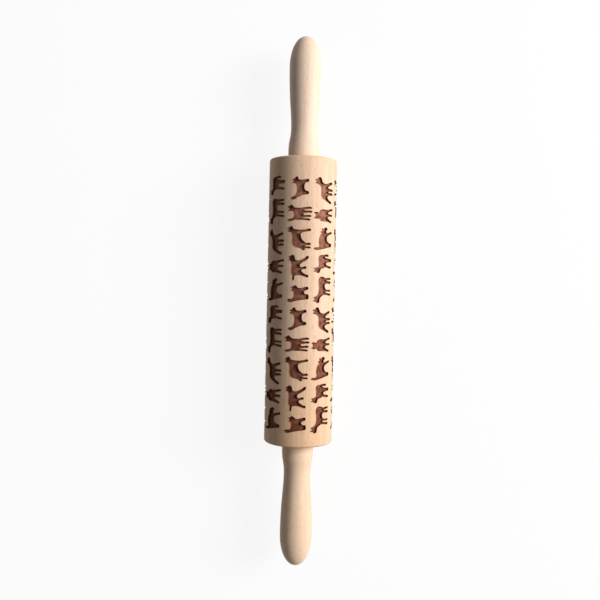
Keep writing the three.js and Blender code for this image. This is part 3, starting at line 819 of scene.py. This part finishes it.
def rounded(outline, reach, steps=3):
    """An outline of (x, radius) with its corners rounded off over a reach, or over a third of a
    side that is too short for it."""
    points = [Vector(point) for point in outline]
    made = []
    for i, corner in enumerate(points):
        before = points[i - 1] - corner
        after = points[(i + 1) % len(points)] - corner
        start = corner + before.normalized() * min(reach, before.length / 3)
        end = corner + after.normalized() * min(reach, after.length / 3)
        for step in range(steps + 1):
            t = step / steps
            made.append(tuple(start * (1 - t) ** 2 + corner * 2 * t * (1 - t) + end * t ** 2))
    return made


def roughness_between(tree, value, lowest, highest, limits=(0.0, 1.0)):
    """A roughness that follows a value, from the lowest at its low limit to the highest."""
    return node(tree, "ShaderNodeMapRange", {
        "Value": value, "From Min": limits[0], "From Max": limits[1],
        "To Min": lowest, "To Max": highest,
    }).outputs[0]


def natural_nylon():
    material, tree, output = new_material("nylon_natural")
    place = node(tree, "ShaderNodeTexCoord").outputs["Object"]
    clouds = noise(tree, place, NYLON_CLOUD_SCALES, detail=3)
    grain = noise(tree, place, NYLON_GRAIN_SCALES)
    bump = node(tree, "ShaderNodeBump", {"Height": grain, "Distance": NYLON_BUMP})
    surface = node(tree, "ShaderNodeBsdfPrincipled", {
        "Base Color": blended(tree, smooth_step(tree, clouds, *NYLON_CLOUD_STEP), NYLON, NYLON_SHADE),
        "Roughness": roughness_between(tree, clouds, *NYLON_ROUGHNESS),
        "Normal": bump.outputs[0],
        "Subsurface Weight": NYLON_SUBSURFACE_SHARE,
        "Subsurface Radius": NYLON_SUBSURFACE_RADIUS,
    })
    tree.links.new(surface.outputs[0], output.inputs["Surface"])
    return material


nylon_material = natural_nylon()
for side in ("right", "left"):
    low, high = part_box(f"bush_{side}")
    face, inner = (high.x, low.x) if side == "right" else (low.x, high.x)
    way = math.copysign(1, face - inner)
    flange_back = face - way * BUSH_FLANGE_THICKNESS
    bm = bmesh.new()
    spin(bm, rounded([
        (inner, BUSH_BORE_RADIUS), (inner, BUSH_RADIUS - BUSH_LEAD_CHAMFER),
        (inner + way * BUSH_LEAD_CHAMFER, BUSH_RADIUS), (flange_back, BUSH_RADIUS),
        (flange_back, BUSH_FLANGE_RADIUS), (face, BUSH_FLANGE_RADIUS), (face, BUSH_BORE_RADIUS),
    ], BUSH_EDGE), BUSH_STEPS, closed=True)
    finished_piece(f"bush_{side}_moulded", bm, nylon_material, "barrel", "nylon", f"bush_{side}")


# Washers
# A thin ring of stamped steel parts each handle from its bush. The stamping has rolled its edges
# over, and rubbing has left fine circles on its faces.
WASHER_BORE_RADIUS = 4.3 * MM
WASHER_RADIUS = 9 * MM
WASHER_EDGE = 0.2 * MM
WASHER_STEPS = 96
WASHER_ROUGHNESS = (0.28, 0.5)
WASHER_LINE_SCALE = 5200
STEEL = colour(205, 207, 210)
STEEL_DULL = colour(168, 170, 173)
STEEL_STAIN_SCALES = (240, 240, 240)
STEEL_STAIN_STEP = (0.4, 0.7)
STEEL_LINE_LIMITS = (0.3, 0.7)
STEEL_BUMP = 0.004 * MM


def bare_steel(name, roughness, line_scale):
    """Bare steel between two roughnesses, with fine lines that run round the pin."""
    material, tree, output = new_material(name)
    place = node(tree, "ShaderNodeTexCoord").outputs["Object"]
    x, y, z = node(tree, "ShaderNodeSeparateXYZ", {0: place}).outputs
    squares = maths(tree, "ADD", maths(tree, "MULTIPLY", y, y), maths(tree, "MULTIPLY", z, z))
    ring = node(tree, "ShaderNodeCombineXYZ", {"X": x, "Y": maths(tree, "SQRT", squares)})
    lines = noise(tree, ring.outputs[0], (line_scale, line_scale, 1), detail=3)
    stains = noise(tree, place, STEEL_STAIN_SCALES, detail=4)
    bump = node(tree, "ShaderNodeBump", {"Height": lines, "Distance": STEEL_BUMP})
    surface = node(tree, "ShaderNodeBsdfPrincipled", {
        "Base Color": blended(tree, smooth_step(tree, stains, *STEEL_STAIN_STEP), STEEL, STEEL_DULL),
        "Metallic": 1.0,
        "Roughness": roughness_between(tree, lines, *roughness, STEEL_LINE_LIMITS),
        "Normal": bump.outputs[0],
    })
    tree.links.new(surface.outputs[0], output.inputs["Surface"])
    return material


washer_material = bare_steel("steel_washer", WASHER_ROUGHNESS, WASHER_LINE_SCALE)
for side in ("right", "left"):
    low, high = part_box(f"washer_{side}")
    bm = bmesh.new()
    spin(bm, rounded([
        (low.x, WASHER_BORE_RADIUS), (low.x, WASHER_RADIUS),
        (high.x, WASHER_RADIUS), (high.x, WASHER_BORE_RADIUS),
    ], WASHER_EDGE), WASHER_STEPS, closed=True)
    finished_piece(f"washer_{side}_stamped", bm, washer_material, "handles", "steel", f"washer_{side}")


# Axle
# A drawn steel rod right through the pin. Its two ends are threaded for the inserts and
# chamfered, and its bright middle runs in the bushes.
AXLE_RADIUS = 4 * MM
AXLE_END_CHAMFER = 0.8 * MM
AXLE_THREAD_PITCH = 1.25 * MM
AXLE_THREAD_DEPTH = 0.7 * MM
AXLE_THREADED_LENGTH = 40 * MM
AXLE_THREAD_ROWS_PER_TURN = 4
AXLE_THREAD_RUN_IN_ROWS = 6
AXLE_STEPS = 72
AXLE_ROUGHNESS = (0.2, 0.36)
AXLE_LINE_SCALE = 9000


def axle_thread(bm, start, end):
    """A screw thread from start to end, its crests at the axle's radius. Its end is chamfered and
    closed by a flat face."""
    way = math.copysign(1, end - start)
    rows = round(abs(end - start) / AXLE_THREAD_PITCH * AXLE_THREAD_ROWS_PER_TURN)
    rings = []
    for row in range(rows + 1):
        x = start + (end - start) * row / rows
        depth = min(1, row / AXLE_THREAD_RUN_IN_ROWS) * AXLE_THREAD_DEPTH
        ring = []
        for i in range(AXLE_STEPS):
            angle = 2 * math.pi * i / AXLE_STEPS
            turns = abs(x - start) / AXLE_THREAD_PITCH - way * i / AXLE_STEPS
            saw = abs((turns % 1) * 2 - 1)
            radius = min(AXLE_RADIUS - depth * saw, AXLE_RADIUS - AXLE_END_CHAMFER + abs(end - x))
            ring.append(bm.verts.new((x, radius * math.sin(angle), radius * math.cos(angle))))
        rings.append(ring)
    for lower, upper in zip(rings, rings[1:]):
        for i in range(AXLE_STEPS):
            after = (i + 1) % AXLE_STEPS
            bm.faces.new([lower[i], lower[after], upper[after], upper[i]])
    tip = bm.verts.new((end, 0, 0))
    for i in range(AXLE_STEPS):
        bm.faces.new([rings[-1][i], rings[-1][(i + 1) % AXLE_STEPS], tip])


axle_material = bare_steel("steel_axle", AXLE_ROUGHNESS, AXLE_LINE_SCALE)
low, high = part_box("axle")
thread_starts = (low.x + AXLE_THREADED_LENGTH, high.x - AXLE_THREADED_LENGTH)
bm = bmesh.new()
spin(bm, [(x, AXLE_RADIUS) for x in thread_starts], AXLE_STEPS)
for start, end in zip(thread_starts, (low.x, high.x)):
    axle_thread(bm, start, end)
finished_piece("axle_threaded", bm, axle_material, "handles", "steel", "axle")


# Handles
# Each is turned from a paler piece of beech, with a foot against the barrel, a waist, a bulb for
# the palm and a blunt nose. Its base is bored for the brass insert and the end of the axle.
HANDLE_FOOT_RADIUS = 10.3 * MM
HANDLE_FOOT_LAND = 4 * MM
HANDLE_FOOT_CHAMFER = 0.5 * MM
HANDLE_FOOT_CHAMFER_BEND_SHARE = 0.3
HANDLE_WAIST_RADIUS = 8.8 * MM
HANDLE_WAIST_FROM_BASE = 20 * MM
HANDLE_BULB_RADIUS = 10.6 * MM
HANDLE_BULB_FROM_TIP = 20 * MM
HANDLE_NOSE_REACH = 10 * MM
HANDLE_NOSE_FLAT_REACH = 7 * MM
HANDLE_WAIST_CURVE_SHARE = 0.25
HANDLE_BULB_CURVE_SHARE = 0.55
HANDLE_DRILL_POINT = 2.6 * MM
HANDLE_STEPS = 96
HANDLE_CURVE_STEPS = 26
HANDLE_ROUGHNESS = 0.5
HANDLE_BUMP = 0.04 * MM
HANDLE_FLECK = colour(210, 170, 133)
SANDING_SCALES = (2600, 40, 40)
SANDING_HEIGHT = 0.35

# The holes in a handle's base, each by its radius and its depth.
HANDLE_FLANGE_SINK = (7.8 * MM, 1.5 * MM)
HANDLE_INSERT_HOLE = (6.7 * MM, 13.3 * MM)
HANDLE_AXLE_HOLE = (4.3 * MM, 42.3 * MM)

# Each handle's pale and deep tone, and where in the log its wood grew.
HANDLE_WOODS = {
    "right": (colour(247, 225, 204), colour(234, 206, 179), (0.03, 0.012, 0.034)),
    "left": (colour(246, 221, 193), colour(233, 199, 166), (0.3, -0.02, 0.028)),
}


def bezier(start, first, second, end, steps):
    """Points of a cubic curve, its start left out."""
    corners = (start, first, second, end)
    points = []
    for i in range(1, steps + 1):
        t = i / steps
        weights = ((1 - t) ** 3, 3 * (1 - t) ** 2 * t, 3 * (1 - t) * t ** 2, t ** 3)
        x = sum(weight * corner[0] for weight, corner in zip(weights, corners))
        radius = sum(weight * corner[1] for weight, corner in zip(weights, corners))
        points.append((x, radius))
    return points


def handle_outline(base, tip):
    """The half section of a handle, (x, radius), from the drill point round to the nose."""
    way = math.copysign(1, tip - base)
    land = base + way * HANDLE_FOOT_LAND
    waist = base + way * HANDLE_WAIST_FROM_BASE
    bulb = tip - way * HANDLE_BULB_FROM_TIP
    flare = (waist - land) / 2
    swell_start = waist + (bulb - waist) * HANDLE_WAIST_CURVE_SHARE
    swell_end = bulb - (bulb - waist) * HANDLE_BULB_CURVE_SHARE
    bend = HANDLE_FOOT_CHAMFER * HANDLE_FOOT_CHAMFER_BEND_SHARE
    outline = [(base + way * (HANDLE_AXLE_HOLE[1] + HANDLE_DRILL_POINT), 0)]
    inner = 0
    for radius, hole_depth in (HANDLE_AXLE_HOLE, HANDLE_INSERT_HOLE, HANDLE_FLANGE_SINK):
        if inner:
            outline.append((base + way * hole_depth, inner))
        outline.append((base + way * hole_depth, radius))
        inner = radius
    outline += [
        (base, inner),
        (base, HANDLE_FOOT_RADIUS - HANDLE_FOOT_CHAMFER),
        (base + way * bend, HANDLE_FOOT_RADIUS - bend),
        (base + way * HANDLE_FOOT_CHAMFER, HANDLE_FOOT_RADIUS),
        (land, HANDLE_FOOT_RADIUS),
    ]
    outline += bezier(
        (land, HANDLE_FOOT_RADIUS), (land + flare, HANDLE_FOOT_RADIUS),
        (waist - flare, HANDLE_WAIST_RADIUS), (waist, HANDLE_WAIST_RADIUS), HANDLE_CURVE_STEPS,
    )
    outline += bezier(
        (waist, HANDLE_WAIST_RADIUS), (swell_start, HANDLE_WAIST_RADIUS),
        (swell_end, HANDLE_BULB_RADIUS), (bulb, HANDLE_BULB_RADIUS), HANDLE_CURVE_STEPS,
    )
    outline += bezier(
        (bulb, HANDLE_BULB_RADIUS), (bulb + way * HANDLE_NOSE_REACH, HANDLE_BULB_RADIUS),
        (tip, HANDLE_NOSE_FLAT_REACH), (tip, 0), HANDLE_CURVE_STEPS,
    )
    return outline


def handle_beech(side):
    """Beech with the fine rings that sanding in the lathe has left."""
    material, tree, output = new_material(f"handle_beech_{side}")
    pale, deep, place_in_log = HANDLE_WOODS[side]
    place, wood, height = beech(tree, pale, deep, HANDLE_FLECK, place_in_log)
    sanding = noise(tree, place, SANDING_SCALES)
    height = maths(tree, "ADD", height, scaled(tree, sanding, SANDING_HEIGHT))
    wooden_surface(tree, output, wood, HANDLE_ROUGHNESS, height, HANDLE_BUMP)
    return material


for side in HANDLE_WOODS:
    low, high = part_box(f"handle_{side}")
    base, tip = (low.x, high.x) if side == "right" else (high.x, low.x)
    bm = bmesh.new()
    spin(bm, handle_outline(base, tip), HANDLE_STEPS)
    finished_piece(
        f"handle_{side}_turned", bm, handle_beech(side), "handles", "handle_beech", f"handle_{side}",
    )


# Inserts
# A sleeve of machined brass sits in each handle's base, its flange flush with the wood. Saw-tooth
# ridges grip the wood, and the axle's thread screws into its grooved bore.
INSERT_BORE_RADIUS = 4.3 * MM
INSERT_RADIUS = 5.8 * MM
INSERT_FLANGE_RADIUS = 7.5 * MM
INSERT_FLANGE_THICKNESS = 1.2 * MM
INSERT_RIDGES = 7
INSERT_RIDGE_HEIGHT = 0.55 * MM
INSERT_RIDGE_START_SHARE = 0.15
INSERT_RIDGE_CREST_SHARES = (0.05, 0.2)
INSERT_RIDGE_END_SHARE = 0.75
INSERT_GROOVES = 9
INSERT_GROOVE_DEPTH = 0.25 * MM
INSERT_GROOVE_SHARES = (0.25, 0.6)
INSERT_EDGE = 0.1 * MM
INSERT_STEPS = 80
BRASS = colour(214, 178, 104)
BRASS_TARNISHED = colour(172, 132, 70)
BRASS_TARNISH_SCALES = (190, 190, 190)
BRASS_TARNISH_STEP = (0.42, 0.72)
BRASS_TOOL_MARK_SCALES = (7000, 300, 300)
BRASS_BUMP = 0.006 * MM
BRASS_ROUGHNESS = (0.22, 0.46)


def machined_brass():
    material, tree, output = new_material("brass_machined")
    place = node(tree, "ShaderNodeTexCoord").outputs["Object"]
    tarnish = noise(tree, place, BRASS_TARNISH_SCALES, detail=4)
    tool_marks = noise(tree, place, BRASS_TOOL_MARK_SCALES)
    bump = node(tree, "ShaderNodeBump", {"Height": tool_marks, "Distance": BRASS_BUMP})
    tarnished = smooth_step(tree, tarnish, *BRASS_TARNISH_STEP)
    surface = node(tree, "ShaderNodeBsdfPrincipled", {
        "Base Color": blended(tree, tarnished, BRASS, BRASS_TARNISHED),
        "Metallic": 1.0,
        "Roughness": roughness_between(tree, tarnish, *BRASS_ROUGHNESS),
        "Normal": bump.outputs[0],
    })
    tree.links.new(surface.outputs[0], output.inputs["Surface"])
    return material


def insert_outline(face, end):
    """The half section of an insert, (x, radius), from its flange over the ridges to its bore."""
    way = math.copysign(1, end - face)
    flange_back = face + way * INSERT_FLANGE_THICKNESS
    outline = [
        (face, INSERT_BORE_RADIUS + INSERT_EDGE), (face, INSERT_FLANGE_RADIUS - INSERT_EDGE),
        (face + way * INSERT_EDGE, INSERT_FLANGE_RADIUS), (flange_back, INSERT_FLANGE_RADIUS),
        (flange_back, INSERT_RADIUS),
    ]
    pitch = (end - flange_back) / INSERT_RIDGES
    for ridge in range(INSERT_RIDGES):
        foot = flange_back + (ridge + INSERT_RIDGE_START_SHARE) * pitch
        outline.append((foot, INSERT_RADIUS))
        for share in INSERT_RIDGE_CREST_SHARES:
            outline.append((foot + pitch * share, INSERT_RADIUS + INSERT_RIDGE_HEIGHT))
        outline.append((foot + pitch * INSERT_RIDGE_END_SHARE, INSERT_RADIUS))
    outline += [(end, INSERT_RADIUS), (end, INSERT_BORE_RADIUS + INSERT_EDGE)]
    groove_pitch = (end - face) / INSERT_GROOVES
    crest_share, bottom_share = INSERT_GROOVE_SHARES
    for number in range(INSERT_GROOVES):
        start = end - groove_pitch * number
        outline += [
            (start - groove_pitch * crest_share, INSERT_BORE_RADIUS),
            (start - groove_pitch * bottom_share, INSERT_BORE_RADIUS + INSERT_GROOVE_DEPTH),
        ]
    return outline


brass_material = machined_brass()
for side in ("right", "left"):
    low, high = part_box(f"insert_{side}")
    face, end = (low.x, high.x) if side == "right" else (high.x, low.x)
    bm = bmesh.new()
    spin(bm, insert_outline(face, end), INSERT_STEPS, closed=True)
    finished_piece(f"insert_{side}_machined", bm, brass_material, "handles", "brass", f"insert_{side}")
